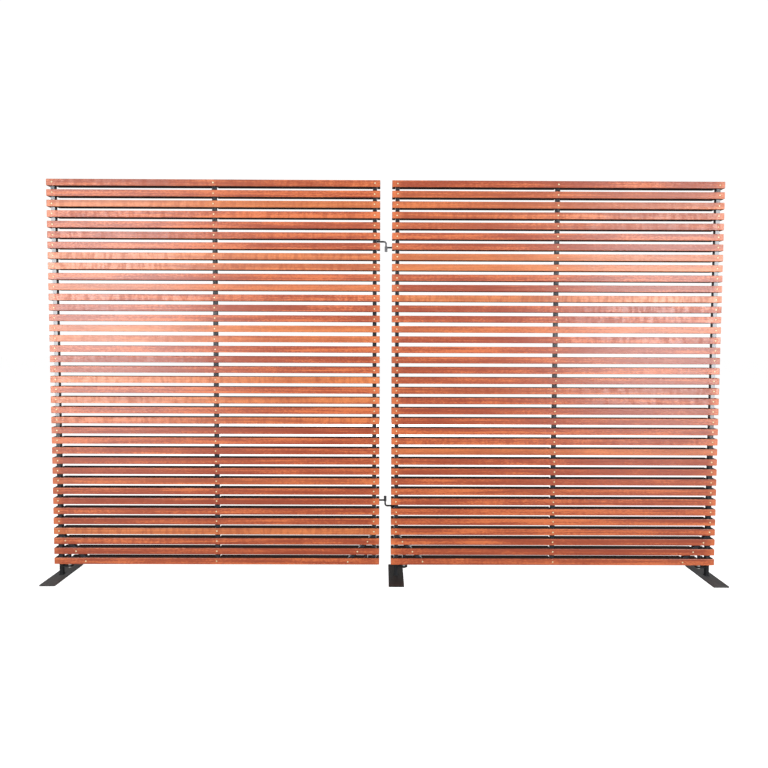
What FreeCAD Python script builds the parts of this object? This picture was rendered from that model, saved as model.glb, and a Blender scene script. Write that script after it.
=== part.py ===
"""Garden privacy screen: two slatted hardwood panels on welded steel frames, joined by lift-off pin hinges.

Frame: millimetres, +Z up, the ground at Z = 0 and the hinge axis on X = Y = 0. X runs along the screen to the
right and Y away from the side that shows the screws. Each panel is drawn as the right-hand one, at a distance
from the hinge axis, and the left-hand one is its mirror image.
"""
import FreeCAD
import Part
import math
import os

Vec = FreeCAD.Vector

# Hardwood slats
slat_count = 38
slat_length = 1510.0
slat_height = 30.0
slat_depth = 45.0
slat_gap = 17.0             # air between one slat and the next
slat_overhang = 15.0        # slat end beyond the side of the end post
slat_cover = 10.0           # wood left in front of the steel where a slat is notched over it
notch_clearance = 0.5
slats_per_node = 5

# Where the panels stand
ground_clearance = 60.0
panel_gap = 54.0            # between the slat ends of the two panels

# Steel frame
tube_width = 19.0
tube_wall = 1.5
brace_width = 12.7
brace_leg = 110.0           # from the corner of post and rail to the brace's centre line, both ways
cap_flange = 2.0
cap_plug = 8.0

# Screws through the slats
screw_length = 19.0
screw_head_diameter = 7.0
screw_shank_diameter = 4.0
screw_sides = 5             # the screws are many and small, so five flats stand in for round ones

# Bolt-on feet
plate_width = 70.0
plate_length = 250.0
plate_thickness = 6.0
plate_corner = 3.0
stem_insert = 130.0         # length of stem inside the post
stem_chamfer = 2.0
slide_clearance = 0.2       # stem or plug to the inside of the tube, each side
weld_leg = 4.0
tab_length = 46.0
tab_width = 25.0
tab_thickness = 6.0
tab_corner = 9.0
spacer_height = 10.0
spacer_diameter = 15.0
bolt_inset = 28.5           # from the side of the post to the bolt
bolt_diameter = 8.0
bolt_clearance = 0.25
thread_clearance = 0.05
bolt_head_flats = 13.0
bolt_head_height = 5.3
bolt_engagement = 20.0      # length of bolt in the corner nut
nut_flats = 14.0
nut_length = 24.0

# Pin hinges: a bent rod on one panel drops into a blind socket on the other
upper_hinge_slat = 6        # the bent rod comes out under this slat
lower_hinge_slat = 32
rod_diameter = 8.0
rod_bend_radius = 10.0
rod_weld = 2.0
socket_diameter = 12.7
socket_length = 24.0
socket_drop = 21.5          # from the bent rod's arm to the socket's mouth
socket_arm_drop = 5.0       # from the socket's mouth to the centre of its own arm
socket_floor = 3.0
socket_edge = 0.8
running_clearance = 0.08    # pin to socket, each side
tip_clearance = 0.3

# Levels and faces that follow
slat_pitch = slat_height + slat_gap
slat_start = panel_gap / 2
seat_y = -tube_width / 2                       # front of the steel, where the slats seat
slat_front = seat_y - slat_cover
slat_rear = slat_front + slat_depth
screen_top = ground_clearance + (slat_count - 1) * slat_pitch + slat_height
frame_bottom = ground_clearance
frame_top = screen_top - cap_flange
rail_top = frame_bottom + tube_width
inner_post = slat_start + slat_overhang + tube_width / 2
outer_post = slat_start + slat_length - slat_overhang - tube_width / 2
middle_post = (inner_post + outer_post) / 2
post_face = inner_post - tube_width / 2        # side of the inner post that carries the hinges
stem_width = tube_width - 2 * tube_wall - 2 * slide_clearance
tab_top = frame_bottom - spacer_height
past = 5.0                                     # how far a cut runs on past the face it opens


def slat_bottom(number):
    """Height of the underside of a slat, numbered from 1 at the top."""
    return ground_clearance + (slat_count - number) * slat_pitch


def block(x0, x1, y0, y1, z0, z1):
    """Box between two corners."""
    return Part.makeBox(x1 - x0, y1 - y0, z1 - z0, Vec(x0, y0, z0))


def prism(sides, flats, x, y, z, height):
    """Upright prism on a regular polygon, given the distance across its flats."""
    radius = flats / 2 / math.cos(math.pi / sides)
    turns = [2 * math.pi * i / sides for i in range(sides)]
    corners = [Vec(x + radius * math.cos(t), y + radius * math.sin(t), z) for t in turns]
    return Part.Face(Part.makePolygon(corners + corners[:1])).extrude(Vec(0, 0, height))


def upright_edges(shape):
    """Edges of a shape that run along Z."""
    return [e for e in shape.Edges if abs(e.tangentAt(e.FirstParameter).z) > 0.999]


def edges_at(shape, level):
    """Edges of a shape that lie flat at one height."""
    return [e for e in shape.Edges if abs(e.BoundBox.ZMin - level) < 0.01 and abs(e.BoundBox.ZMax - level) < 0.01]


# ---- steel frame ----

def post(x, bottom, top):
    """Square tube standing on end."""
    half = tube_width / 2
    bore = half - tube_wall
    return block(x - half, x + half, -half, half, bottom, top).cut(block(x - bore, x + bore, -bore, bore, bottom, top))


def rail(bottom):
    """Square tube lying between the two end posts."""
    start = inner_post + tube_width / 2
    end = outer_post - tube_width / 2
    half = tube_width / 2
    outside = block(start, end, -half, half, bottom, bottom + tube_width)
    bore = half - tube_wall
    return outside.cut(block(start, end, -bore, bore, bottom + tube_wall, bottom + tube_width - tube_wall))


def corners():
    """Each lower corner of a frame: the side of its post, and the way that leads in along the rail."""
    return [(inner_post + tube_width / 2, 1), (outer_post - tube_width / 2, -1)]


def bottom_rail():
    """Lower rail, drilled through both walls for the foot bolts."""
    tube = rail(frame_bottom)
    for face, inward in corners():
        centre = Vec(face + inward * bolt_inset, 0, frame_bottom)
        tube = tube.cut(Part.makeCylinder(bolt_diameter / 2 + bolt_clearance, tube_width, centre))
    return tube


def brace_bar(face, inward, half_width, y0, y1):
    """Bar at 45 degrees in a lower corner, cut to seat on the post's side and the rail's top."""
    across = half_width * math.sqrt(2)
    outline = [(0, brace_leg - across), (0, brace_leg + across), (brace_leg + across, 0), (brace_leg - across, 0)]
    points = [Vec(face + inward * s, y0, rail_top + z) for s, z in outline]
    return Part.Face(Part.makePolygon(points + points[:1])).extrude(Vec(0, y1 - y0, 0))


def brace(face, inward):
    """Corner brace, flush with the front of the frame."""
    return brace_bar(face, inward, brace_width / 2, seat_y, seat_y + brace_width)


def corner_nut(face, inward):
    """Long nut welded on the lower rail over the bolt hole."""
    x = face + inward * bolt_inset
    bore = Part.makeCylinder(bolt_diameter / 2 + thread_clearance, nut_length, Vec(x, 0, rail_top))
    return prism(6, nut_flats, x, 0, rail_top, nut_length).cut(bore)


def post_cap(x, level, up):
    """Plug for an open post end: a flange on the end and a body inside the tube."""
    half = tube_width / 2
    fit = stem_width / 2
    flange = block(x - half, x + half, -half, half, *sorted((level, level + up * cap_flange)))
    plug = block(x - fit, x + fit, -fit, fit, *sorted((level, level - up * cap_plug)))
    return flange.fuse(plug).removeSplitter()


# ---- slats and their screws ----

def steel_clearance(arm_level):
    """What the slats leave free behind their seats: posts, rails, braces, nuts and the passing hinge arm."""
    half = tube_width / 2 + notch_clearance
    rear = slat_rear + past
    low = ground_clearance - past
    high = screen_top + past
    blocks = [block(x - half, x + half, seat_y, rear, low, high) for x in (inner_post, middle_post, outer_post)]
    blocks.append(block(inner_post, outer_post, seat_y, rear, low, rail_top + notch_clearance))
    blocks.append(block(inner_post, outer_post, seat_y, rear, frame_top - tube_width - notch_clearance, high))
    nut_half = nut_flats / math.sqrt(3) + notch_clearance
    nut_top = rail_top + nut_length + notch_clearance
    for face, inward in corners():
        x = face + inward * bolt_inset
        blocks.append(block(x - nut_half, x + nut_half, seat_y, rear, rail_top, nut_top))
        blocks.append(brace_bar(face, inward, brace_width / 2 + notch_clearance, seat_y, rear))
    arm = rod_diameter / 2 + rod_weld + notch_clearance
    blocks.append(block(slat_start - past, inner_post, -arm, rear, arm_level - arm, arm_level + arm))
    return blocks


def slat(number, clearance):
    """One slat, notched from behind over whatever steel it crosses."""
    bottom = slat_bottom(number)
    wood = block(slat_start, slat_start + slat_length, slat_front, slat_rear, bottom, bottom + slat_height)
    crossing = [b for b in clearance if b.BoundBox.ZMax > bottom and b.BoundBox.ZMin < bottom + slat_height]
    return wood.cut(crossing)


def screw_places(number):
    """Distance from the hinge axis to a slat's screws. In the bottom corners they follow the brace to the rail."""
    level = slat_bottom(number) + slat_height / 2
    along = rail_top + brace_leg - level
    if along < 0:
        return inner_post, middle_post, outer_post
    return inner_post + tube_width / 2 + along, middle_post, outer_post - tube_width / 2 - along


def screw(x, level):
    """Countersunk screw, its head flush with the front of the slat and its shank tapering to a point."""
    head_depth = (screw_head_diameter - screw_shank_diameter) / 2
    sections = []
    for diameter, y in ((screw_head_diameter, slat_front), (screw_shank_diameter, slat_front + head_depth)):
        turns = [2 * math.pi * i / screw_sides for i in range(screw_sides)]
        ring = [Vec(x + diameter / 2 * math.cos(t), y, level + diameter / 2 * math.sin(t)) for t in turns]
        sections.append(Part.makePolygon(ring + ring[:1]))
    sections.append(Part.Vertex(x, slat_front + screw_length, level))
    return Part.makeLoft(sections, True, True)


# ---- bolt-on foot ----

def foot_plate(x):
    """Flat bar that lies on the ground across the line of the screen."""
    half = plate_width / 2
    bar = block(x - half, x + half, -plate_length / 2, plate_length / 2, 0, plate_thickness)
    return bar.makeFillet(plate_corner, upright_edges(bar))


def foot_stem(x):
    """Square bar that slides up inside the post, with its weld to the plate and a lead-in at the top."""
    half = stem_width / 2
    top = frame_bottom + stem_insert
    bar = block(x - half, x + half, -half, half, plate_thickness, top)
    bar = bar.makeChamfer(stem_chamfer, edges_at(bar, top))
    toe = half + weld_leg
    weld = Part.makeWedge(-toe, 0, -toe, -half, -half, toe, weld_leg, toe, half, half)
    weld.rotate(Vec(0, 0, 0), Vec(1, 0, 0), 90)
    weld.translate(Vec(x, 0, plate_thickness))
    return bar.fuse(weld).removeSplitter()


def foot_tab(x, inward):
    """Ear on the stem that the bolt pulls up against the lower rail."""
    start = x + inward * stem_width / 2
    end = start + inward * tab_length
    ear = block(*sorted((start, end)), -tab_width / 2, tab_width / 2, tab_top - tab_thickness, tab_top)
    ear = ear.makeFillet(tab_corner, [e for e in upright_edges(ear) if abs(e.BoundBox.XMin - end) < 0.01])
    bolt_x = x + inward * (tube_width / 2 + bolt_inset)
    hole = Part.makeCylinder(bolt_diameter / 2 + bolt_clearance, tab_thickness, Vec(bolt_x, 0, tab_top - tab_thickness))
    return ear.cut(hole)


def foot_bolt(x, inward):
    """Hexagon bolt up through the tab, the spacer and the rail into the corner nut."""
    bolt_x = x + inward * (tube_width / 2 + bolt_inset)
    seat = tab_top - tab_thickness
    head = prism(6, bolt_head_flats, bolt_x, 0, seat - bolt_head_height, bolt_head_height)
    length = rail_top + bolt_engagement - seat
    return head.fuse(Part.makeCylinder(bolt_diameter / 2, length, Vec(bolt_x, 0, seat)))


def foot_spacer(x, inward):
    """Plated sleeve between the tab and the underside of the rail."""
    base = Vec(x + inward * (tube_width / 2 + bolt_inset), 0, tab_top)
    sleeve = Part.makeCylinder(spacer_diameter / 2, spacer_height, base)
    return sleeve.cut(Part.makeCylinder(bolt_diameter / 2 + bolt_clearance, spacer_height, base))


# ---- pin hinge, drawn with the bent rod's arm at Z = 0, coming from the left ----

def rod_along_x(x0, x1, z):
    """Round rod lying along X."""
    return Part.makeCylinder(rod_diameter / 2, x1 - x0, Vec(x0, 0, z), Vec(1, 0, 0))


def weld_ring(x, toward, z):
    """Fillet weld where a rod meets the side of a post."""
    radius = rod_diameter / 2
    return Part.makeCone(radius + rod_weld, radius, rod_weld, Vec(x, 0, z), Vec(toward, 0, 0))


def hinge_pin():
    """Rod bent through a right angle: an arm from the post and a pin on the hinge axis."""
    radius = rod_diameter / 2
    arm = rod_along_x(-post_face, -rod_bend_radius, 0)
    section = Part.Face(Part.Wire(Part.makeCircle(radius, Vec(-rod_bend_radius, 0, 0), Vec(1, 0, 0))))
    bend = section.revolve(Vec(-rod_bend_radius, 0, -rod_bend_radius), Vec(0, 1, 0), 90)
    tip = -socket_drop - socket_length + socket_floor + tip_clearance
    pin = Part.makeCylinder(radius, -rod_bend_radius - tip, Vec(0, 0, tip))
    return arm.fuse([bend, pin, weld_ring(-post_face, 1, 0)]).removeSplitter()


def hinge_socket():
    """Tube closed at its far end, with a broken edge at the mouth."""
    bottom = -socket_drop - socket_length
    barrel = Part.makeCylinder(socket_diameter / 2, socket_length, Vec(0, 0, bottom))
    barrel = barrel.makeChamfer(socket_edge, edges_at(barrel, -socket_drop))
    bore_start = bottom + socket_floor
    bore = Part.makeCylinder(rod_diameter / 2 + running_clearance, -socket_drop - bore_start, Vec(0, 0, bore_start))
    return barrel.cut(bore)


def hinge_arm():
    """Straight rod from the socket to the other panel's post, its end shaped to the socket."""
    level = -socket_drop - socket_arm_drop
    rod = rod_along_x(0, post_face, level).fuse(weld_ring(post_face, -1, level))
    around = Part.makeCylinder(socket_diameter / 2, socket_length, Vec(0, 0, -socket_drop - socket_length))
    return rod.cut(around).removeSplitter()


def hinge_level(number):
    """Height of a bent rod's arm, midway in the gap under a slat."""
    return slat_bottom(number) - slat_gap / 2


def placed_hinge(level, upright):
    """The three pieces of a hinge at a height. The lower hinge is the upper one turned over."""
    pieces = {"pin": hinge_pin(), "socket": hinge_socket(), "arm": hinge_arm()}
    for shape in pieces.values():
        if not upright:
            shape.rotate(Vec(0, 0, 0), Vec(0, 1, 0), 180)
        shape.translate(Vec(0, 0, level))
    return pieces


# ---- the whole screen ----

def sided(shape, side):
    """A piece drawn for the right-hand panel, mirrored when it is for the left-hand one."""
    return shape.mirror(Vec(0, 0, 0), Vec(1, 0, 0)) if side == "left" else shape


def frame_nodes(side, cap_ends):
    """Posts, rails, braces, corner nuts and end caps of one panel."""
    upper_rail = frame_top - tube_width
    nodes = {
        "inner_post": post(inner_post, frame_bottom, frame_top),
        "middle_post": post(middle_post, rail_top, upper_rail),
        "outer_post": post(outer_post, frame_bottom, frame_top),
        "top_rail": rail(upper_rail),
        "bottom_rail": bottom_rail(),
        "corner_nuts": Part.makeCompound([corner_nut(*corner) for corner in corners()]),
        "post_caps": Part.makeCompound([post_cap(*end) for end in cap_ends]),
    }
    for name, corner in zip(("inner_brace", "outer_brace"), corners()):
        nodes[name] = brace(*corner)
    return {f"{side}_{name}": sided(shape, side) for name, shape in nodes.items()}


def slat_nodes(side, arm_level):
    """Slats of one panel, in groups, and the rows of screws that hold them."""
    clearance = steel_clearance(arm_level)
    nodes = {}
    for first in range(1, slat_count + 1, slats_per_node):
        last = min(first + slats_per_node - 1, slat_count)
        group = [slat(number, clearance) for number in range(first, last + 1)]
        nodes[f"{side}_slats_{first:02d}_to_{last:02d}"] = Part.makeCompound(group)
    rows = {"inner": [], "middle": [], "outer": []}
    for number in range(1, slat_count + 1):
        level = slat_bottom(number) + slat_height / 2
        for row, x in zip(rows.values(), screw_places(number)):
            row.append(screw(x, level))
    for name, row in rows.items():
        nodes[f"{side}_{name}_screws"] = Part.makeCompound(row)
    return {name: sided(shape, side) for name, shape in nodes.items()}


def foot_nodes(name, side, x, inward):
    """Plate, stem and tab of one foot."""
    nodes = {"plate": foot_plate(x), "stem": foot_stem(x), "tab": foot_tab(x, inward)}
    return {f"{name}_{piece}": sided(shape, side) for piece, shape in nodes.items()}


def fastener_nodes(side, feet):
    """Bolts and spacers of one panel's feet."""
    nodes = {
        "foot_bolts": Part.makeCompound([foot_bolt(*foot) for foot in feet]),
        "foot_spacers": Part.makeCompound([foot_spacer(*foot) for foot in feet]),
    }
    return {f"{side}_{name}": sided(shape, side) for name, shape in nodes.items()}


def build():
    """Every node of the screen, by name."""
    upper = hinge_level(upper_hinge_slat)
    lower = hinge_level(lower_hinge_slat)
    arm_drop = socket_drop + socket_arm_drop
    top_ends = [(inner_post, frame_top, 1), (outer_post, frame_top, 1)]
    nodes = frame_nodes("right", top_ends)
    nodes.update(frame_nodes("left", top_ends + [(inner_post, frame_bottom, -1)]))
    nodes.update(slat_nodes("right", upper - arm_drop))
    nodes.update(slat_nodes("left", lower + arm_drop))
    nodes.update(foot_nodes("centre_foot", "right", inner_post, 1))
    nodes.update(foot_nodes("right_foot", "right", outer_post, -1))
    nodes.update(foot_nodes("left_foot", "left", outer_post, -1))
    nodes.update(fastener_nodes("right", [(inner_post, 1), (outer_post, -1)]))
    nodes.update(fastener_nodes("left", [(outer_post, -1)]))
    for name, pieces in (("upper", placed_hinge(upper, True)), ("lower", placed_hinge(lower, False))):
        nodes.update({f"{name}_hinge_{piece}": shape for piece, shape in pieces.items()})
    return nodes


os.makedirs("parts", exist_ok=True)
for node, model in build().items():
    model.exportStep(f"parts/{node}.step")
    print(f"{node}: {len(model.Solids)} solids, {model.Volume / 1000:.1f} cm3, valid {model.isValid()}")
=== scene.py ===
import logging
import math
from dataclasses import dataclass, field
from enum import Enum

import bmesh
import bpy
import numpy as np
from mathutils import Matrix, Vector

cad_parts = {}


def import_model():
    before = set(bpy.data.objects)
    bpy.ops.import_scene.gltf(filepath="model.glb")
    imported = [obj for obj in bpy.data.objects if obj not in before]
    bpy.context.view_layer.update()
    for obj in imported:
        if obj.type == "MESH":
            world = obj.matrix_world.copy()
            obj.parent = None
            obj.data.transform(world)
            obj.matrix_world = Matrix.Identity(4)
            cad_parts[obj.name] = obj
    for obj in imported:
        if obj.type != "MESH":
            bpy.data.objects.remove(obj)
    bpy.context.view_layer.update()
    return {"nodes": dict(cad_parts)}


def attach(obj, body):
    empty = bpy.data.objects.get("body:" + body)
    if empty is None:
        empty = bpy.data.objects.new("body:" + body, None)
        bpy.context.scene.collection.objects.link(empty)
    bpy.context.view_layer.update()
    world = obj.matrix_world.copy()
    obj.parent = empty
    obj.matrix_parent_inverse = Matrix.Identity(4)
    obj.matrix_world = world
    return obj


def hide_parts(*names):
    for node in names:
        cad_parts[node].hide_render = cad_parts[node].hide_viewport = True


log = logging.getLogger("privacy_screen")
MERGE_DISTANCE = 2e-6
FLAT_ANGLE = math.radians(1.0)
SHARP_ANGLE = math.radians(40.0)
ARRIS_STEPS = 2

Colour = tuple[float, float, float]
Point = tuple[float, float, float]
# Cells of a noise in a metre along X, Y and Z.
Cells = tuple[float, float, float]
# Two lengths or heights in metres, between which something fades.
Span = tuple[float, float]
Nodes = dict[str, bpy.types.Object]


# ---- sizes, in metres ----

@dataclass(frozen=True)
class ScreenSizes:
    """Main sizes of the screen in metres, as its solids have them.

    Only the braces differ: the photograph shows them as wide as the posts, so here they are of the same
    tube.
    """

    slat_count: int = 38
    slat_length: float = 1.510
    slat_height: float = 0.030
    slat_depth: float = 0.045
    slat_pitch: float = 0.047
    slat_overhang: float = 0.015
    slat_cover: float = 0.010
    ground_clearance: float = 0.060
    panel_gap: float = 0.054
    tube_width: float = 0.019
    brace_leg: float = 0.110
    brace_width: float = 0.019
    screw_head: float = 0.007
    bolt_inset: float = 0.0285
    nut_flats: float = 0.014
    cap_flange: float = 0.002
    plate_thickness: float = 0.006

    @property
    def slat_start(self) -> float:
        """Distance from the hinge axis to the near end of a slat."""
        return self.panel_gap / 2

    @property
    def slat_end(self) -> float:
        """Distance from the hinge axis to the far end of a slat."""
        return self.slat_start + self.slat_length

    @property
    def slat_front(self) -> float:
        """Y of the screwed face of the slats."""
        return -self.tube_width / 2 - self.slat_cover

    @property
    def slat_rear(self) -> float:
        """Y of the back of the slats."""
        return self.slat_front + self.slat_depth

    @property
    def posts(self) -> tuple[float, float, float]:
        """Distance from the hinge axis to the centre of the inner, middle and outer post."""
        inner = self.slat_start + self.slat_overhang + self.tube_width / 2
        outer = self.slat_end - self.slat_overhang - self.tube_width / 2
        return inner, (inner + outer) / 2, outer

    @property
    def rail_top(self) -> float:
        """Height of the top of the lower rail."""
        return self.ground_clearance + self.tube_width

    @property
    def frame_top(self) -> float:
        """Height of the top of the steel, under the plugs."""
        top = self.ground_clearance + (self.slat_count - 1) * self.slat_pitch + self.slat_height
        return top - self.cap_flange

    def slat_centre(self, number: int) -> float:
        """Height of the middle of a slat.

        Args:
            number: The slat, from 1 at the top.

        Returns:
            The height in metres.
        """
        return self.ground_clearance + (self.slat_count - number) * self.slat_pitch + self.slat_height / 2


class Side(Enum):
    """The two panels, by the sign of their X and the body they belong to."""

    LEFT = (-1, "left_panel")
    RIGHT = (1, "right_panel")

    @property
    def sign(self) -> int:
        """Sign of the panel's X."""
        return self.value[0]

    @property
    def body(self) -> str:
        """Body that the panel's pieces ride on."""
        return self.value[1]

    @property
    def prefix(self) -> str:
        """First word of the panel's node names."""
        return self.name.lower()


# ---- shader writing ----

class Value:
    """A number carried by a node socket. Arithmetic on it adds Math nodes."""

    def __init__(self, shader: "Shader", socket: bpy.types.NodeSocket) -> None:
        """Wraps a socket of the shader's tree."""
        self.shader = shader
        self.socket = socket

    def math(self, operation: str, *others: "Value | float") -> "Value":
        """Adds a Math node on this value and the others.

        Args:
            operation: Name of the Math node's operation.
            others: Further operands, as values or numbers.

        Returns:
            The node's result.
        """
        return self.shader.math(operation, self, *others)

    def __add__(self, other: "Value | float") -> "Value":
        """Sum."""
        return self.math("ADD", other)

    def __radd__(self, other: float) -> "Value":
        """Sum, number first."""
        return self.math("ADD", other)

    def __sub__(self, other: "Value | float") -> "Value":
        """Difference."""
        return self.math("SUBTRACT", other)

    def __rsub__(self, other: float) -> "Value":
        """Difference, number first."""
        return self.shader.math("SUBTRACT", other, self)

    def __mul__(self, other: "Value | float") -> "Value":
        """Product."""
        return self.math("MULTIPLY", other)

    def __rmul__(self, other: float) -> "Value":
        """Product, number first."""
        return self.math("MULTIPLY", other)

    def __truediv__(self, other: "Value | float") -> "Value":
        """Quotient."""
        return self.math("DIVIDE", other)

    def __rtruediv__(self, other: float) -> "Value":
        """Quotient, number first."""
        return self.shader.math("DIVIDE", other, self)

    def __gt__(self, other: "Value | float") -> "Value":
        """1 where this value is the larger, else 0."""
        return self.math("GREATER_THAN", other)

    def __lt__(self, other: "Value | float") -> "Value":
        """1 where this value is the smaller, else 0."""
        return self.math("LESS_THAN", other)

    def __abs__(self) -> "Value":
        """Size without the sign."""
        return self.math("ABSOLUTE")

    def floor(self) -> "Value":
        """Whole number at or below this value."""
        return self.math("FLOOR")

    def ramp(self, low: float, high: float, start: float = 0.0, end: float = 1.0) -> "Value":
        """Smooth step from start to end as this value goes from low to high.

        Args:
            low: Value at which the step starts.
            high: Value at which it ends.
            start: Result at and before low.
            end: Result at and after high.

        Returns:
            The stepped value.
        """
        sockets = {"Value": self, "From Min": low, "From Max": high, "To Min": start, "To Max": end}
        node = self.shader.node("ShaderNodeMapRange", {"interpolation_type": "SMOOTHSTEP"}, sockets)
        return Value(self.shader, node.outputs["Result"])


class Shader:
    """The node tree of one material, or of the world, with one method that adds any node."""

    def __init__(self, name: str, world: bool = False) -> None:
        """Makes a material with a Principled shader, or a world with a background.

        Args:
            name: Name of the material or world.
            world: Whether it is a world.
        """
        self.owner = (bpy.data.worlds if world else bpy.data.materials).new(name)
        self.owner.use_nodes = True
        self.tree = self.owner.node_tree
        self.surface = self.tree.nodes["Background" if world else "Principled BSDF"]

    def node(self, kind: str, settings: dict | None = None, sockets: dict | None = None) -> bpy.types.Node:
        """Adds a node.

        Args:
            kind: The node's type.
            settings: Properties of the node, set before its sockets.
            sockets: Value, link or number of each input, by the socket's name or number.

        Returns:
            The new node.
        """
        node = self.tree.nodes.new(kind)
        for name, value in (settings or {}).items():
            setattr(node, name, value)
        for name, value in (sockets or {}).items():
            self.feed(node.inputs[name], value)
        return node

    def feed(self, socket: bpy.types.NodeSocket, value: object) -> None:
        """Links a value to a socket, or sets the socket to it.

        Args:
            socket: The input.
            value: A Value or an output to link, or a number or colour to set.
        """
        if isinstance(value, Value):
            value = value.socket
        if isinstance(value, bpy.types.NodeSocket):
            self.tree.links.new(value, socket)
        elif isinstance(value, tuple) and len(value) == 3 and socket.type == "RGBA":
            socket.default_value = (*value, 1.0)
        else:
            socket.default_value = value

    def math(self, operation: str, *operands: "Value | float") -> Value:
        """Adds a Math node.

        Args:
            operation: Name of the node's operation.
            operands: Its inputs in order.

        Returns:
            The node's result.
        """
        node = self.node("ShaderNodeMath", {"operation": operation}, dict(enumerate(operands)))
        return Value(self, node.outputs[0])

    def place(self) -> tuple[Value, Value, Value]:
        """Reads where the shaded point is on the object.

        Returns:
            Its X, Y and Z in metres.
        """
        coordinates = self.node("ShaderNodeTexCoord")
        split = self.node("ShaderNodeSeparateXYZ", None, {0: coordinates.outputs["Object"]})
        return tuple(Value(self, split.outputs[axis]) for axis in range(3))

    def vector(self, x: "Value | float", y: "Value | float", z: "Value | float") -> bpy.types.NodeSocket:
        """Joins three numbers into a vector."""
        return self.node("ShaderNodeCombineXYZ", None, {0: x, 1: y, 2: z}).outputs[0]

    def noise(self, place: tuple[Value, Value, Value], cells: Cells | float, detail: float, roughness: float,
              distortion: float = 0.0) -> Value:
        """Fractal noise, from 0 to 1 around a half.

        Args:
            place: X, Y and Z to read, in metres.
            cells: Cells of the noise in a metre along X, Y and Z, or one number for all three.
            detail: Octaves.
            roughness: Share of the finer octaves.
            distortion: How far the pattern is folded.

        Returns:
            The noise.
        """
        if isinstance(cells, float):
            cells = (cells, cells, cells)
        vector = self.vector(*(axis * count for axis, count in zip(place, cells)))
        sockets = {"Vector": vector, "Scale": 1.0, "Detail": detail, "Roughness": roughness,
                   "Distortion": distortion}
        node = self.node("ShaderNodeTexNoise", {"noise_dimensions": "3D"}, sockets)
        return Value(self, node.outputs[0])

    def randoms(self, vector: bpy.types.NodeSocket) -> tuple[Value, Value, Value]:
        """Draws three steady random numbers for a vector.

        Args:
            vector: The vector, with whole numbers in it.

        Returns:
            Three numbers from 0 to 1.
        """
        white = self.node("ShaderNodeTexWhiteNoise", {"noise_dimensions": "3D"}, {"Vector": vector})
        split = self.node("ShaderNodeSeparateColor", None, {0: white.outputs["Color"]})
        return tuple(Value(self, split.outputs[channel]) for channel in range(3))

    def mix(self, factor: Value, first: object, second: object) -> bpy.types.NodeSocket:
        """Mixes two colours.

        Args:
            factor: Share of the second colour.
            first: Colour or colour socket.
            second: Colour or colour socket.

        Returns:
            The mixed colour.
        """
        # A Mix node has sockets for numbers and vectors too: 6, 7 and output 2 are the colours.
        node = self.node("ShaderNodeMix", {"data_type": "RGBA"}, {0: factor, 6: first, 7: second})
        return node.outputs[2]

    def bump(self, height: Value, strength: float, distance: float) -> bpy.types.NodeSocket:
        """Normal of a surface with a relief.

        Args:
            height: Relief, from 0 to 1.
            strength: Share of the effect.
            distance: Depth of the relief in metres.

        Returns:
            The bumped normal.
        """
        sockets = {"Height": height, "Strength": strength, "Distance": distance}
        return self.node("ShaderNodeBump", None, sockets).outputs["Normal"]

    def finish(self, **inputs: object) -> bpy.types.Material | bpy.types.World:
        """Feeds the Principled shader or the background.

        Args:
            inputs: Its sockets by name, with underscores for spaces.

        Returns:
            The material or the world.
        """
        for name, value in inputs.items():
            self.feed(self.surface.inputs[name.replace("_", " ")], value)
        return self.owner


# ---- finishes ----

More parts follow.
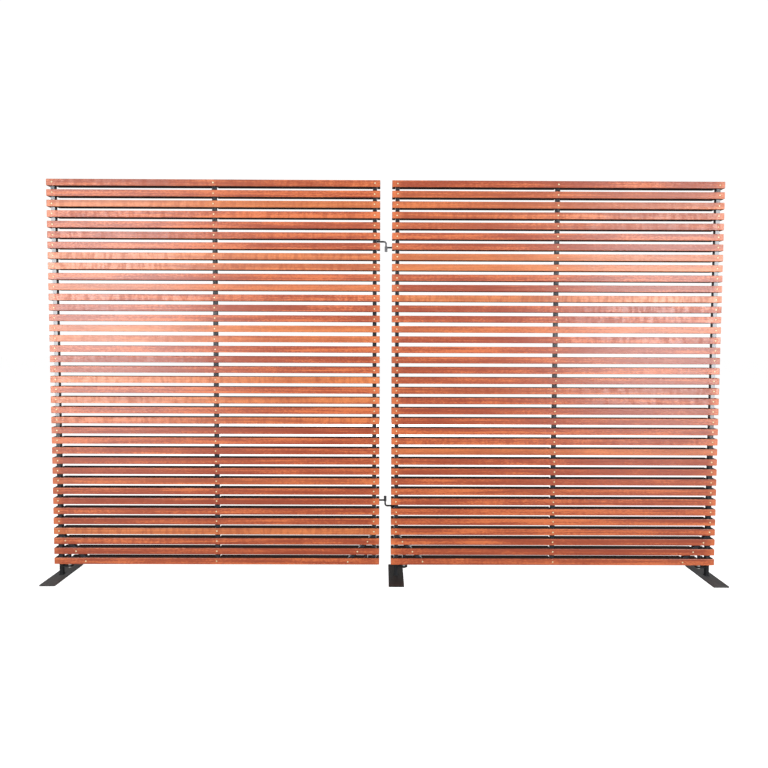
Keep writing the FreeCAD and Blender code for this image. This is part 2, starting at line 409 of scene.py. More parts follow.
@dataclass(frozen=True)
class OiledHardwood:
    """Reddish tropical hardwood under a satin oil, each slat with a tone and figure of its own.

    The spans are measured inwards from an end, an edge or a face of the slat, or outwards from a screw.
    """

    sizes: ScreenSizes
    deep: Colour = (0.285, 0.048, 0.019)
    red: Colour = (0.485, 0.103, 0.037)
    orange: Colour = (0.69, 0.180, 0.058)
    golden: Colour = (0.71, 0.235, 0.073)
    pore: Colour = (0.13, 0.032, 0.020)
    end_grain: Colour = (0.26, 0.075, 0.040)
    # Colour of the painted shade on the faces inside the gaps.
    grime: Colour = (0.012, 0.006, 0.005)
    gloss_spread: float = 0.38
    row_margin: float = 0.008
    slip_range: float = 37.0
    rise_range: float = 5.0
    tone_seed: float = 3.0
    place_seed: float = 11.0
    streak_cells: Cells = (3.2, 110.0, 420.0)
    band_cells: Cells = (1.7, 22.0, 75.0)
    cloud_cells: Cells = (4.5, 8.0, 16.0)
    curl_cells: Cells = (70.0, 24.0, 22.0)
    fleck_cells: Cells = (85.0, 60.0, 190.0)
    pore_cells: Cells = (70.0, 900.0, 1500.0)
    tone_spread: float = 0.22
    tone_floor: float = 1.14
    tone_range: float = 0.78
    curl_weight: float = 1.6
    relief_depth: float = 0.0006
    # Span of the painted light towards each end of a slat.
    lit_end: Span = (0.004, 0.055)
    cut_end: Span = (0.0006, 0.0014)
    front_fade: Span = (0.0015, 0.006)
    rear_fade: Span = (0.0002, 0.0035)
    lip_fade: Span = (0.0003, 0.0012)
    screw_ring: Span = (0.0035, 0.0085)

    def material(self) -> bpy.types.Material:
        """Builds the wood from the point's place: its slat, the grain, painted light at the ends, painted
        shade in the gaps.

        Returns:
            The material.
        """
        s = Shader("oiled_hardwood")
        sizes = self.sizes
        x, y, z = s.place()
        run = abs(x)
        row = ((z - (sizes.ground_clearance - self.row_margin)) / sizes.slat_pitch).floor()
        local = z - sizes.ground_clearance - row * sizes.slat_pitch
        lip = abs(local - sizes.slat_height / 2)
        tone, figure, warmth = s.randoms(s.vector(row, x > 0.0, self.tone_seed))
        slip, rise, glow = s.randoms(s.vector(row, x > 0.0, self.place_seed))

        place = (x + slip * self.slip_range, y, z + rise * self.rise_range)
        streaks = s.noise(place, self.streak_cells, 4.0, 0.62)
        bands = s.noise(place, self.band_cells, 3.0, 0.5, 0.6)
        clouds = s.noise(place, self.cloud_cells, 2.0, 0.5)
        curl = s.noise(place, self.curl_cells, 2.0, 0.5, 0.4)
        flecks = s.noise(place, self.fleck_cells, 3.0, 0.6)
        pores = s.noise(place, self.pore_cells, 2.0, 0.5)
        figured = figure.ramp(0.40, 0.85)

        grain = bands * 0.95 + streaks * 0.85 + clouds * 0.50 + flecks * 0.75
        lightness = (grain + (tone - 0.5) * self.tone_spread - self.tone_floor).ramp(0.0, self.tone_range)
        base = s.mix(lightness, self.deep, self.red)
        base = s.mix(lightness.ramp(0.42, 1.0), base, self.orange)
        gold = warmth.ramp(0.70, 1.0) * (bands * 0.8 + clouds * 0.7 - 0.15)
        base = s.mix(gold, base, self.golden)
        ripple = (curl - 0.5) * figured * self.curl_weight
        base = s.mix((ripple + 0.5).ramp(0.25, 0.62, 0.42, 0.0), base, self.deep)
        base = s.mix(pores.ramp(0.30, 0.42, 0.55, 0.0), base, self.pore)
        base = self.ends(s, base, run, glow)
        # Painted shade: the upper and lower faces inside the gaps go nearly black, as if shaded by the next
        # slat.
        shaded = self.gap_faces(y, z, lip)
        base = s.mix(shaded * 0.97, base, self.grime)
        base = s.mix(self.screw_rings(s, run, lip) * 0.35, base, self.deep)

        relief = streaks * 0.35 + flecks * 0.55 + curl * figured * 1.3 + pores.ramp(0.28, 0.45) * 0.1
        sheen = flecks * 0.9 + ripple - shaded
        return s.finish(
            Base_Color=base,
            Roughness=self.gloss_spread + (flecks + streaks - 1.0) * 0.22 + shaded * 0.6,
            Coat_Weight=sheen.ramp(0.22, 0.74, 0.02, 0.80),
            Coat_Roughness=0.25,
            Specular_IOR_Level=0.62,
            Normal=s.bump(relief, 0.75, self.relief_depth),
        )

    def ends(self, s: Shader, base: bpy.types.NodeSocket, run: Value, glow: Value) -> bpy.types.NodeSocket:
        """Paints light on the wood towards the slat's ends, where more light falls, and shows end grain on
        the end itself.

        Args:
            s: The wood's shader.
            base: Colour so far.
            run: Distance from the hinge axis.
            glow: The slat's own share of the lighter tone.

        Returns:
            The colour.
        """
        to_end = s.math("MINIMUM", run - self.sizes.slat_start, self.sizes.slat_end - run)
        # Painted light: the wood turns lighter and more orange towards each end, where more light falls.
        end_light = to_end.ramp(*self.lit_end, 0.62, 0.0) * (0.35 + glow * 0.75)
        base = s.mix(end_light, base, self.orange)
        return s.mix(to_end.ramp(*self.cut_end, 0.85, 0.0), base, self.end_grain)

    def gap_faces(self, y: Value, z: Value, lip: Value) -> Value:
        """Painted shade on the faces inside the gaps, with the top of the screen left out.

        Args:
            y: Y of the point.
            z: Z of the point.
            lip: Height above or below the middle of the slat.

        Returns:
            1 on the upper and lower faces of a slat, fading out at its front and back edge.
        """
        sizes = self.sizes
        front = (y - sizes.slat_front).ramp(*self.front_fade)
        rear = (sizes.slat_rear - y).ramp(*self.rear_fade)
        face = (sizes.slat_height / 2 - lip).ramp(*self.lip_fade, 1.0, 0.0)
        return front * rear * face * (z < sizes.frame_top)

    def screw_rings(self, s: Shader, run: Value, lip: Value) -> Value:
        """Darker wood round each screw that stands over a post.

        Args:
            s: The wood's shader.
            run: Distance from the hinge axis.
            lip: Height above or below the middle of the slat.

        Returns:
            1 at a screw, falling to 0 a few millimetres away.
        """
        rings = []
        for post in self.sizes.posts:
            away = run - post
            reach = (away * away + lip * lip).math("SQRT")
            rings.append(reach.ramp(*self.screw_ring, 1.0, 0.0))
        return s.math("MAXIMUM", s.math("MAXIMUM", rings[0], rings[1]), rings[2])


@dataclass(frozen=True)
class PaintedSteel:
    """Black powder coat: fine orange peel, a little dust in clouds and a few scuffs."""

    name: str = "black_powder_coat"
    coat: Colour = (0.012, 0.015, 0.020)
    dusty: Colour = (0.040, 0.041, 0.044)
    gloss_spread: float = 0.17
    lacquer: float = 0.7
    peel_cells: float = 700.0
    dust_cells: Cells = (24.0, 24.0, 9.0)
    scuff_cells: Cells = (310.0, 310.0, 40.0)

    def material(self) -> bpy.types.Material:
        """Builds the coat from peel noise, broad dust clouds and fine scuffs.

        Returns:
            The material.
        """
        s = Shader(self.name)
        place = s.place()
        peel = s.noise(place, self.peel_cells, 2.0, 0.5)
        dust = s.noise(place, self.dust_cells, 5.0, 0.68)
        scuffs = s.noise(place, self.scuff_cells, 3.0, 0.6)
        veil = dust.ramp(0.48, 0.72) * 0.55 + scuffs.ramp(0.66, 0.74) * 0.35
        return s.finish(
            Base_Color=s.mix(veil, self.coat, self.dusty),
            Roughness=self.gloss_spread + veil * 0.3,
            Coat_Weight=self.lacquer,
            Coat_Roughness=0.12,
            Specular_IOR_Level=0.25 + self.lacquer * 0.75,
            Normal=s.bump(peel, 0.12, 0.0001),
        )


@dataclass(frozen=True)
class MillSteel:
    """Dark mill-scale bar under a thin clear coat, with rolling marks along the bar and sides darker than
    its top.
    """

    name: str = "mill_scale_bar"
    scale: Colour = (0.115, 0.114, 0.113)
    bare: Colour = (0.34, 0.335, 0.33)
    rust: Colour = (0.125, 0.100, 0.085)
    dark_sides: Colour = (0.014, 0.013, 0.012)
    thickness: float = ScreenSizes.plate_thickness
    edge_fade: Span = (0.0005, 0.0010)
    speckle_cells: float = 420.0
    rolling_cells: Cells = (330.0, 14.0, 330.0)
    stain_cells: Cells = (30.0, 22.0, 30.0)

    def material(self) -> bpy.types.Material:
        """Builds the scale from speckle, rolling marks along Y, a few warm stains and darker sides below the
        top face.

        Returns:
            The material.
        """
        s = Shader(self.name)
        place = s.place()
        speckle = s.noise(place, self.speckle_cells, 3.0, 0.7)
        rolling = s.noise(place, self.rolling_cells, 3.0, 0.6)
        stains = s.noise(place, self.stain_cells, 4.0, 0.6)
        bright = speckle.ramp(0.50, 0.74) * 0.55 + rolling.ramp(0.52, 0.70) * 0.30
        base = s.mix(bright, self.scale, self.bare)
        base = s.mix(stains.ramp(0.56, 0.74) * 0.5, base, self.rust)
        # Darker below the top face: the plate's sides and underside.
        below_top = self.thickness - place[2]
        base = s.mix(below_top.ramp(*self.edge_fade, 0.0, 0.85), base, self.dark_sides)
        return s.finish(
            Base_Color=base,
            Roughness=0.42 + stains * 0.18,
            Metallic=0.35,
            Coat_Weight=0.1,
            Coat_Roughness=0.35,
            Normal=s.bump(speckle * 0.6 + rolling * 0.4, 0.35, 0.0003),
        )


@dataclass(frozen=True)
class WornRod:
    """Black painted round bar, rubbed to grey metal near the hinge axis, mostly on the upper hinge."""

    name: str = "worn_hinge_rod"
    coat: Colour = (0.010, 0.010, 0.011)
    rubbed: Colour = (0.26, 0.26, 0.27)
    rubbed_within: Span = (0.009, 0.0125)
    between_hinges: Span = (0.8, 1.2)
    patch_cells: Cells = (160.0, 160.0, 90.0)
    ring_cells: Cells = (60.0, 60.0, 900.0)

    def material(self) -> bpy.types.Material:
        """Builds the rod: paint that thins near the hinge axis and is scratched around it.

        Returns:
            The material.
        """
        s = Shader(self.name)
        place = x, y, z = s.place()
        away = (x * x + y * y).math("SQRT")
        patches = s.noise(place, self.patch_cells, 4.0, 0.65)
        rings = s.noise(place, self.ring_cells, 3.0, 0.6)
        near = away.ramp(*self.rubbed_within, 1.0, 0.0) * z.ramp(*self.between_hinges, 0.2, 1.0)
        worn = near * (patches * 0.55 + rings * 0.55).ramp(0.30, 0.72)
        return s.finish(
            Base_Color=s.mix(worn, self.coat, self.rubbed),
            Roughness=0.42 + patches * 0.2,
            Metallic=worn * 0.8,
            Specular_IOR_Level=0.3,
            Normal=s.bump(patches * 0.5 + rings * 0.5, 0.3, 0.0002),
        )


@dataclass(frozen=True)
class Plating:
    """Bright plated metal with a fine grain and slight tarnish."""

    name: str
    bright: Colour
    dull: Colour
    metallic: float = 0.75
    gloss_spread: float = 0.28
    grain_cells: float = 900.0
    tarnish_cells: Cells = (21.0, 40.0, 21.0)

    def material(self) -> bpy.types.Material:
        """Builds the plating from grain and tarnish noise.

        Returns:
            The material.
        """
        s = Shader(self.name)
        place = s.place()
        grain = s.noise(place, self.grain_cells, 2.0, 0.5)
        tarnish = s.noise(place, self.tarnish_cells, 4.0, 0.6)
        return s.finish(
            Base_Color=s.mix(tarnish.ramp(0.42, 0.72), self.bright, self.dull),
            Roughness=self.gloss_spread + tarnish * 0.25,
            Metallic=self.metallic,
            Normal=s.bump(grain, 0.2, 0.0001),
        )


@dataclass(frozen=True)
class MouldedPlastic:
    """Black moulded plastic with a fine spark-eroded grain."""

    name: str = "moulded_plastic"
    body: Colour = (0.022, 0.022, 0.023)
    chalk: Colour = (0.075, 0.075, 0.074)
    grain_cells: float = 1600.0
    bloom_cells: float = 70.0

    def material(self) -> bpy.types.Material:
        """Builds the plastic: grain relief and a chalky bloom.

        Returns:
            The material.
        """
        s = Shader(self.name)
        place = s.place()
        grain = s.noise(place, self.grain_cells, 2.0, 0.5)
        bloom = s.noise(place, self.bloom_cells, 4.0, 0.6)
        return s.finish(
            Base_Color=s.mix(bloom.ramp(0.45, 0.75), self.body, self.chalk),
            Roughness=0.5 + bloom * 0.2,
            Normal=s.bump(grain, 0.35, 0.0001),
        )


# ---- surfaces ----

@dataclass
class Shell:
    """Faces gathered as whole arrays before they become one mesh.

    Points are rows of X, Y, Z; faces are rows of point numbers; finish is the material slot of each face.
    """

    points: list[np.ndarray] = field(default_factory=list)
    faces: list[np.ndarray] = field(default_factory=list)
    finishes: list[np.ndarray] = field(default_factory=list)
    count: int = 0

    def add(self, points: np.ndarray, faces: np.ndarray, finish: np.ndarray | int = 0) -> None:
        """Adds a patch.

        Args:
            points: Array of shape (n, 3).
            faces: Array of shape (m, 4) or (m, 3), numbered within the patch.
            finish: Material slot for all faces, or one for each.
        """
        self.points.append(points)
        self.faces.append(faces + self.count)
        self.finishes.append(np.broadcast_to(finish, len(faces)))
        self.count += len(points)

    def piece(self, name: str, smooth: bool = True) -> bpy.types.Object:
        """Makes the object.

        Args:
            name: Name of the object.
            smooth: Whether its faces are shaded smooth.

        Returns:
            The object, at the origin, with its place in its mesh.
        """
        mesh = bpy.data.meshes.new(name)
        polygons = [row for patch in self.faces for row in patch.tolist()]
        mesh.from_pydata(np.concatenate(self.points).tolist(), [], polygons)
        mesh.polygons.foreach_set("use_smooth", np.full(len(polygons), smooth))
        mesh.polygons.foreach_set("material_index", np.concatenate(self.finishes).astype(np.int32))
        mesh.update()
        piece = bpy.data.objects.new(name, mesh)
        bpy.context.scene.collection.objects.link(piece)
        return piece


def ring_faces(rings: int, sides: int) -> np.ndarray:
    """Quads between closed rings of points.

    Point (i, j) has number i * sides + j. Each quad joins (i, j), (i, j + 1), (i + 1, j + 1) and (i + 1, j),
    and j closes on itself.

    Args:
        rings: Number of rings.
        sides: Points in a ring.

    Returns:
        Array of shape ((rings - 1) * sides, 4).
    """
    i, j = np.meshgrid(np.arange(rings - 1), np.arange(sides), indexing="ij")
    k = (j + 1) % sides
    here, there = i * sides, (i + 1) * sides
    return np.stack([here + j, here + k, there + k, there + j], -1).reshape(-1, 4)


def dress(piece: bpy.types.Object, materials: list[bpy.types.Material]) -> None:
    """Gives a piece its materials and reports it.

    Args:
        piece: The piece.
        materials: One for each of its slots, in order.
    """
    piece.data.materials.clear()
    for material in materials:
        piece.data.materials.append(material)
    log.info("%s: %s", piece.name, " and ".join(material.name for material in materials))


def ease(piece: bpy.types.Object, radius: float) -> None:
    """Breaks a piece's sharp edges with a bevel.

    Args:
        piece: The piece.
        radius: Width of the broken edge in metres.
    """
    bevel = piece.modifiers.new("arris", "BEVEL")
    bevel.width = radius
    bevel.segments = ARRIS_STEPS
    bevel.limit_method = "ANGLE"
    bevel.angle_limit = SHARP_ANGLE


def eased_copy(nodes: Nodes, node: str, radius: float) -> bpy.types.Object:
    """A node's solid with its sharp edges broken.

    The loose triangles are joined, flat neighbours become one face, and a bevel rounds what is left.

    Args:
        nodes: The frame's nodes by name.
        node: The CAD node.
        radius: Width of the broken edge in metres.

    Returns:
        The new piece, which replaces the node.
    """
    shape = bmesh.new()
    shape.from_mesh(nodes[node].data)
    bmesh.ops.remove_doubles(shape, verts=shape.verts, dist=MERGE_DISTANCE)
    bmesh.ops.dissolve_limit(shape, angle_limit=FLAT_ANGLE, verts=shape.verts, edges=shape.edges)
    mesh = bpy.data.meshes.new(f"{node}_eased")
    shape.to_mesh(mesh)
    shape.free()
    mesh.polygons.foreach_set("use_smooth", np.zeros(len(mesh.polygons), dtype=bool))
    piece = bpy.data.objects.new(f"{node}_eased", mesh)
    bpy.context.scene.collection.objects.link(piece)
    ease(piece, radius)
    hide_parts(node)
    return piece


# ---- sub-assemblies ----

@dataclass
class Slats:
    """The hardwood slats, with their arrises eased. A node holds a group of them."""

    sizes: ScreenSizes
    nodes: Nodes
    wood: bpy.types.Material
    arris: float = 0.0016
    group: int = 5

    def build(self) -> None:
        """Makes the eased slats of both panels."""
        for side in Side:
            for first in range(1, self.sizes.slat_count + 1, self.group):
                last = min(first + self.group - 1, self.sizes.slat_count)
                piece = eased_copy(self.nodes, f"{side.prefix}_slats_{first:02d}_to_{last:02d}", self.arris)
                dress(piece, [self.wood])
                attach(piece, side.body)
            log.info("%s slats eased", side.prefix)


@dataclass
class SlatScrews:
    """Countersunk screws with a cross recess, a little proud of the wood and set by hand."""

    sizes: ScreenSizes
    head: bpy.types.Material
    recess: bpy.types.Material
    sides: int = 12
    proud: float = 0.0005
    wander: float = 0.0018
    seed: int = 7

    def head_rings(self) -> tuple[np.ndarray, np.ndarray]:
        """Surface of one head around the origin, facing -Y.

        Ring i has radius r(i, t) and depth d(i), with t the turn. The rings are the rim, its shoulder, the
        lip and the floor of the recess, and the middle of the floor. Lip and floor follow
        r * (0.5 + 0.5 * |cos 2t| ** 1.5), which pinches them between the four arms of the cross.

        Returns:
            Points of shape (rings * sides, 3) and the finish of each face.
        """
        turn = np.arange(self.sides) * 2 * math.pi / self.sides
        cross = 0.5 + 0.5 * np.abs(np.cos(2 * turn)) ** 1.5
        radius = self.sizes.screw_head / 2
        rims = np.array([1.0, 0.93, 0.58, 0.40, 0.0]) * radius
        depths = np.array([0.0006, -0.35, -1.0, -0.1, -0.1]) * self.proud
        circle = np.ones(self.sides)
        shape = np.stack([circle, circle, cross, cross, circle])
        r = rims[:, None] * shape
        depth = np.broadcast_to(depths[:, None], r.shape)
        points = np.stack([r * np.cos(turn), depth, r * np.sin(turn)], -1)
        # Slot 1, the lip and floor of the recess, takes the painted shade of the recess.
        finish = np.repeat([0, 0, 1, 1], self.sides)
        return points.reshape(-1, 3), finish

    def places(self, number: int) -> list[float]:
        """Distance from the hinge axis to each screw of a slat. Low down they follow the braces.

        Args:
            number: The slat, from 1 at the top.

        Returns:
            The inner, middle and outer distances.
        """
        inner, middle, outer = self.sizes.posts
        along = self.sizes.rail_top + self.sizes.brace_leg - self.sizes.slat_centre(number)
        if along < 0:
            return [inner, middle, outer]
        half = self.sizes.tube_width / 2
        return [inner + half + along, middle, outer - half - along]

    def build(self) -> None:
        """Makes the three rows of each panel."""
        points, finish = self.head_rings()
        faces = ring_faces(len(points) // self.sides, self.sides)
        rng = np.random.default_rng(self.seed)
        for side in Side:
            for row, name in enumerate(("inner", "middle", "outer")):
                shell = Shell()
                for number in range(1, self.sizes.slat_count + 1):
                    dx, dz = rng.uniform(-self.wander, self.wander, 2)
                    tilt = rng.uniform(0, math.pi / 2)
                    spin = np.array([[math.cos(tilt), 0, math.sin(tilt)], [0, 1, 0],
                                     [-math.sin(tilt), 0, math.cos(tilt)]])
                    x = side.sign * self.places(number)[row] + dx
                    place = np.array([x, self.sizes.slat_front, self.sizes.slat_centre(number) + dz])
                    shell.add(points @ spin.T + place, faces, finish)
                piece = shell.piece(f"{side.prefix}_{name}_screw_heads")
                dress(piece, [self.head, self.recess])
                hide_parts(f"{side.prefix}_{name}_screws")
                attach(piece, side.body)
        log.info("screw heads set")


@dataclass
class WeldBeads:
    """Stacked-dime weld beads along the joints of the steel."""

    sizes: ScreenSizes
    steel: bpy.types.Material
    radius: float = 0.0022
    ripple: float = 0.0026
    ripple_depth: float = 0.18
    ripple_steps: int = 4
    least_steps: int = 6
    sides: int = 8
    inset: float = 0.001
    nut_bead: float = 0.004

    def bead(self, shell: Shell, start: Vector, end: Vector) -> None:
        """Adds a bead between two points.

        The bead is a tube of radius r * (1 - d + d * |sin(pi * s / ripple)|), with s the way along it and d
        the ripple's depth. It closes to a point at both ends.

        Args:
            shell: Where the bead goes.
            start: First end of its centre line.
            end: Last end of its centre line.
        """
        axis = (end - start).normalized()
        length = (end - start).length
        stations = max(self.least_steps, int(length / self.ripple * self.ripple_steps))
        s = np.linspace(0.0, length, stations)
        swell = 1.0 - self.ripple_depth + self.ripple_depth * np.abs(np.sin(math.pi * s / self.ripple))
        close = np.sqrt(np.clip(np.minimum(s, length - s) / self.radius, 0.0, 1.0))
        r = self.radius * swell * close
        side = axis.orthogonal().normalized()
        up = axis.cross(side)
        turn = np.arange(self.sides) * 2 * math.pi / self.sides
        ring = np.cos(turn)[:, None] * np.array(side) + np.sin(turn)[:, None] * np.array(up)
        centre = np.array(start) + s[:, None] * np.array(axis)
        points = centre[:, None, :] + r[:, None, None] * ring[None, :, :]
        shell.add(points.reshape(-1, 3), ring_faces(stations, self.sides)[:, ::-1])

    def joints(self) -> list[tuple[Vector, Vector]]:
        """Bead lines of the right-hand panel: rails to posts, braces to post and rail, nuts to rail.

        Returns:
            The first and last point of each bead's centre line.
        """
        sizes = self.sizes
        inner, middle, outer = sizes.posts
        half = sizes.tube_width / 2
        low, high = sizes.rail_top, sizes.frame_top - sizes.tube_width
        front, rear = self.inset - half, half - self.inset
        ends = []
        for face, inward in ((inner + half, 1), (outer - half, -1)):
            for level in (sizes.ground_clearance, high):
                bottom, top = level + self.inset, level + sizes.tube_width - self.inset
                ends.append(((face, half, bottom), (face, half, top)))
            ends.append(((face, front, high), (face, rear, high)))
            across = sizes.brace_width / 2 * math.sqrt(2)
            back = -half + sizes.brace_width
            for along in (sizes.brace_leg - across, sizes.brace_leg + across):
                foot = face + inward * along
                ends.append(((face, -half, low + along), (face, back, low + along)))
                ends.append(((foot, -half, low), (foot, back, low)))
            nut = face + inward * sizes.bolt_inset
            for y in (-sizes.nut_flats / 2, sizes.nut_flats / 2):
                ends.append(((nut - self.nut_bead, y, low), (nut + self.nut_bead, y, low)))
        for x in (middle - half, middle + half):
            ends += [((x, front, level), (x, rear, level)) for level in (low, high)]
        return [(Vector(start), Vector(end)) for start, end in ends]

    def build(self) -> None:
        """Makes the beads of both panels."""
        flip = {Side.RIGHT: Vector((1, 1, 1)), Side.LEFT: Vector((-1, 1, 1))}
        for side in Side:
            shell = Shell()
            for start, end in self.joints():
                self.bead(shell, start * flip[side], end * flip[side])
            piece = shell.piece(f"{side.prefix}_weld_beads")
            dress(piece, [self.steel])
            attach(piece, side.body)
        log.info("weld beads laid")


@dataclass
class SteelFrame:
    """Posts, rails, braces, corner nuts and end plugs."""

    sizes: ScreenSizes
    nodes: Nodes
    coat: bpy.types.Material
    plastic: bpy.types.Material
    corner: float = 0.0014

    def build(self) -> None:
        """Rounds the tube corners and dresses every steel piece of both frames."""
        for side in Side:
            for name in ("inner_post", "middle_post", "outer_post", "top_rail", "bottom_rail"):
                self.add(f"{side.prefix}_{name}", side, self.corner, self.coat, "frame_steel")
            self.add(f"{side.prefix}_corner_nuts", side, self.corner / 2, self.coat, "frame_steel")
            inner, _, outer = self.sizes.posts
            half = self.sizes.tube_width / 2
            self.brace(f"{side.prefix}_inner_brace", side, inner + half, 1)
            self.brace(f"{side.prefix}_outer_brace", side, outer - half, -1)
            self.add(f"{side.prefix}_post_caps", side, self.corner / 2, self.plastic, "black_plastic")
        log.info("steel frames dressed")

    def brace(self, node: str, side: Side, face: float, inward: int) -> None:
        """Replaces a brace with square tube, mitred to the post and the rail.

        With u the way in from the post's face and v the way up from the rail, its outline is the strip
        |u + v - leg| <= width / sqrt(2), cut off at u = 0 and at v = 0. It runs back by its width.

        Args:
            node: The CAD node.
            side: The panel that it belongs to.
            face: Distance from the hinge axis to the side of the post.
            inward: 1 where the brace runs away from the hinge, else -1.
        """
        sizes = self.sizes
        slant = sizes.brace_width / math.sqrt(2)
        short, long = sizes.brace_leg - slant, sizes.brace_leg + slant
        u, v = np.array([0.0, 0.0, long, short]), np.array([short, long, 0.0, 0.0])
        x, z = side.sign * (face + inward * u), sizes.rail_top + v
        front = -sizes.tube_width / 2
        rings = [np.stack([x, np.full(4, y), z], -1) for y in (front, front + sizes.brace_width)]
        faces = np.concatenate([ring_faces(2, 4), [[3, 2, 1, 0], [4, 5, 6, 7]]])
        if side.sign * inward < 0:
            faces = faces[:, ::-1]
        shell = Shell()
        shell.add(np.concatenate(rings), faces)
        piece = shell.piece(f"{node}_tube", smooth=False)
        ease(piece, self.corner)
        dress(piece, [self.coat])
        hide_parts(node)
        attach(piece, side.body)

    def add(self, node: str, side: Side, radius: float, material: bpy.types.Material, slot: str) -> None:
        """Replaces a steel piece or the plugs with an eased copy.

        Args:
            node: The CAD node.
            side: The panel that it belongs to.
            radius: Width of the broken edges.
            material: Finish.
            slot: Not used.
        """
        piece = eased_copy(self.nodes, node, radius)
        dress(piece, [material])
        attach(piece, side.body)


@dataclass
class Feet:
    """Foot plates, stems and tabs, with their bolts and spacers. The centre plate is of a darker, browner
    bar: partly browner scale, partly painted shade, as it catches no sheen from the side lights.
    """

    nodes: Nodes
    bar: bpy.types.Material
    brown_bar: bpy.types.Material
    coat: bpy.types.Material
    plated: bpy.types.Material
    edge: float = 0.0007

    def build(self) -> None:
        """Dresses the three feet."""
        owners = {"centre_foot": Side.RIGHT, "right_foot": Side.RIGHT, "left_foot": Side.LEFT}
        for foot, side in owners.items():
            # The centre plate takes the darker bar: part browner scale, part painted shade.
            plate = self.brown_bar if foot == "centre_foot" else self.bar
            for part, material in (("plate", plate), ("stem", self.coat), ("tab", self.coat)):
                piece = eased_copy(self.nodes, f"{foot}_{part}", self.edge)
                dress(piece, [material])
                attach(piece, side.body)
        for side in Side:
            for part in ("foot_bolts", "foot_spacers"):
                dress(self.nodes[f"{side.prefix}_{part}"], [self.plated])
        log.info("feet dressed")


@dataclass
class Hinges:
    """Bent rods, sockets and arms of the two pin hinges."""

    nodes: Nodes
    rod: bpy.types.Material

    def build(self) -> None:
        """Dresses both hinges."""
        for level in ("upper", "lower"):
            for part in ("pin", "socket", "arm"):
                dress(self.nodes[f"{level}_hinge_{part}"], [self.rod])
        log.info("hinges dressed")


# ---- studio ----

@dataclass(frozen=True)
class Lamp:
    """A soft rectangular light, with the point that it faces and its power in watts."""

    name: str
    place: Point
    aim: Point
    width: float
    height: float
    power: float
    mirrored: bool = True


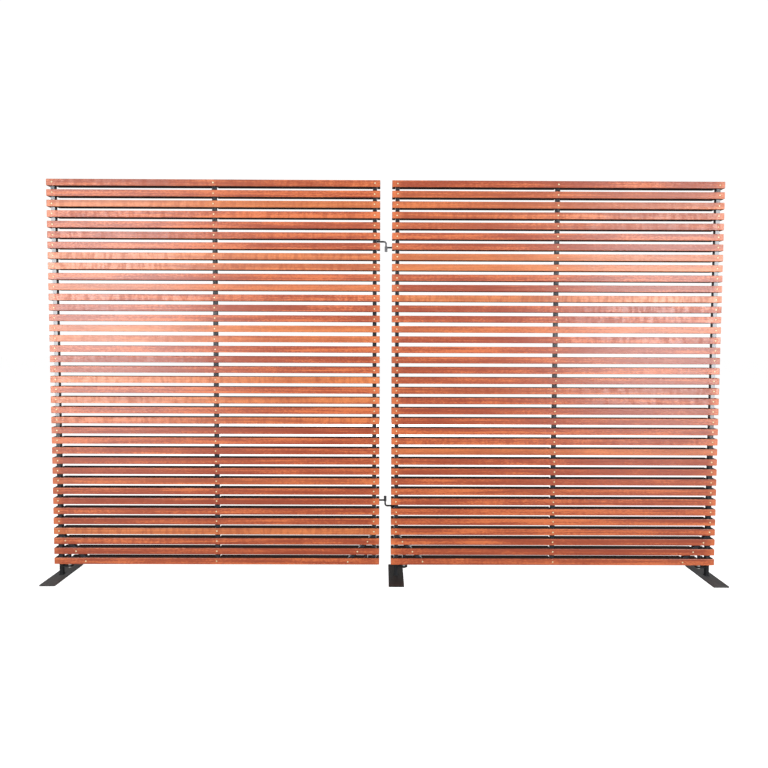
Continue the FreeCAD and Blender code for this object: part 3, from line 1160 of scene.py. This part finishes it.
@dataclass
class Studio:
    """Camera, pale floor and soft lights, with angles in degrees and the sensor in millimetres."""

    eye: Point = (-0.008, -2.675, 1.116)
    heading: float = 0.207
    dip: float = 2.574
    roll: float = 0.210
    focal_pixels: float = 579.6
    frame_pixels: int = 768
    centre_column: float = 386.0
    centre_row: float = 364.0
    sensor: float = 36.0
    floor_side: float = 60.0
    floor_glow: float = 0.82
    floor_white: float = 0.9
    surround: float = 0.20
    backdrop: float = 1.05
    daylight: Colour = (0.955, 0.975, 1.0)
    lamps: tuple[Lamp, ...] = (
        Lamp("window_left", (-2.85, -3.2, 1.38), (-0.95, 0.0, 1.1), 1.7, 2.2, 93.0),
        Lamp("window_right", (2.85, -3.2, 1.38), (0.95, 0.0, 1.1), 1.7, 2.2, 93.0),
        Lamp("front_fill", (0.0, -4.6, 1.9), (0.0, 0.0, 1.0), 2.2, 1.2, 127.0, mirrored=False),
        Lamp("rear_fill", (0.0, 5.2, 1.1), (0.0, 0.0, 1.0), 4.0, 1.2, 90.0, mirrored=False),
    )

    def camera(self) -> None:
        """Stands the camera where the photograph was taken."""
        data = bpy.data.cameras.new("camera")
        data.sensor_width = self.sensor
        data.sensor_fit = "HORIZONTAL"
        data.lens = self.focal_pixels / self.frame_pixels * self.sensor
        half = self.frame_pixels / 2
        data.shift_x = (half - self.centre_column) / self.frame_pixels
        data.shift_y = (self.centre_row - half) / self.frame_pixels
        data.clip_end = 200.0
        heading, dip, roll = (math.radians(a) for a in (self.heading, self.dip, self.roll))
        flat = math.cos(dip)
        ahead = Vector((math.sin(heading) * flat, math.cos(heading) * flat, -math.sin(dip)))
        level = Vector((math.cos(heading), -math.sin(heading), 0.0))
        above = level.cross(ahead)
        right = math.cos(roll) * level + math.sin(roll) * above
        up = math.cos(roll) * above - math.sin(roll) * level
        matrix = Matrix((right, up, -ahead)).transposed().to_4x4()
        matrix.translation = Vector(self.eye)
        camera = bpy.data.objects.new("camera", data)
        camera.matrix_world = matrix
        bpy.context.scene.collection.objects.link(camera)
        bpy.context.scene.camera = camera

    def floor(self) -> None:
        """Lays a plain pale floor that takes shadows and throws no colour back."""
        corners = np.array([[-1, -1, 0], [1, -1, 0], [1, 1, 0], [-1, 1, 0]]) * self.floor_side / 2
        shell = Shell()
        shell.add(corners, np.array([[0, 1, 2, 3]]))
        floor = shell.piece("studio_floor", smooth=False)
        white = Shader("studio_floor").finish(
            Base_Color=(self.floor_white,) * 3,
            Roughness=0.9,
            Specular_IOR_Level=0.0,
            Emission_Color=(1.0, 1.0, 1.0),
            Emission_Strength=self.floor_glow,
        )
        dress(floor, [white])
        floor.visible_diffuse = False
        floor.visible_glossy = False

    def light(self, lamp: Lamp) -> None:
        """Adds a soft light.

        Args:
            lamp: Its place, aim, size and power.
        """
        data = bpy.data.lights.new(lamp.name, "AREA")
        data.shape = "RECTANGLE"
        data.size = lamp.width
        data.size_y = lamp.height
        data.energy = lamp.power
        data.color = self.daylight
        light = bpy.data.objects.new(lamp.name, data)
        place = Vector(lamp.place)
        light.matrix_world = (Vector(lamp.aim) - place).to_track_quat("-Z", "Y").to_matrix().to_4x4()
        light.location = place
        light.visible_glossy = lamp.mirrored
        bpy.context.scene.collection.objects.link(light)

    def world(self) -> None:
        """White surround for the eye, dimmer for the light it gives."""
        s = Shader("studio", world=True)
        seen = s.node("ShaderNodeLightPath").outputs["Is Camera Ray"]
        sockets = {"Value": seen, "To Min": self.surround, "To Max": self.backdrop}
        strength = s.node("ShaderNodeMapRange", None, sockets).outputs["Result"]
        bpy.context.scene.world = s.finish(Color=(1.0, 1.0, 1.0), Strength=strength)

    def build(self) -> None:
        """Sets up the studio."""
        self.camera()
        self.floor()
        self.world()
        for lamp in self.lamps:
            self.light(lamp)
        view = bpy.context.scene.view_settings
        view.view_transform = "Standard"
        view.look = "None"
        log.info("studio set")


def main() -> None:
    """Loads the frame, dresses it and sets the studio."""
    logging.basicConfig(level=logging.INFO, format="%(name)s: %(message)s")
    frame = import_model()
    nodes = frame["nodes"]
    sizes = ScreenSizes()
    wood = OiledHardwood(sizes).material()
    frame_coat = PaintedSteel().material()
    foot_coat = PaintedSteel("matt_black_coat", coat=(0.010, 0.011, 0.012), dusty=(0.032, 0.032, 0.033),
                             gloss_spread=0.5, lacquer=0.0).material()
    bar = MillSteel().material()
    # Darker copy of the mill-scale bar for the centre plate: browner scale and painted shade.
    brown_bar = MillSteel("brown_scale_bar", scale=(0.036, 0.032, 0.030), bare=(0.15, 0.142, 0.136),
                          rust=(0.078, 0.058, 0.046)).material()
    rod = WornRod().material()
    zinc = Plating("bright_zinc", bright=(0.72, 0.71, 0.68), dull=(0.52, 0.50, 0.46)).material()
    brass = Plating("pale_brass", bright=(0.86, 0.74, 0.46), dull=(0.72, 0.58, 0.33),
                    metallic=0.35, gloss_spread=0.36).material()
    # Painted shade: the cross recess of each screw head is a dark brass.
    recess = Plating("recess_shade", bright=(0.20, 0.16, 0.09), dull=(0.12, 0.09, 0.05),
                     metallic=0.5, gloss_spread=0.5).material()
    plastic = MouldedPlastic().material()
    Slats(sizes, nodes, wood).build()
    SlatScrews(sizes, brass, recess).build()
    SteelFrame(sizes, nodes, frame_coat, plastic).build()
    WeldBeads(sizes, frame_coat).build()
    Feet(nodes, bar, brown_bar, foot_coat, zinc).build()
    Hinges(nodes, rod).build()
    Studio().build()


if __name__ == "__main__":
    main()
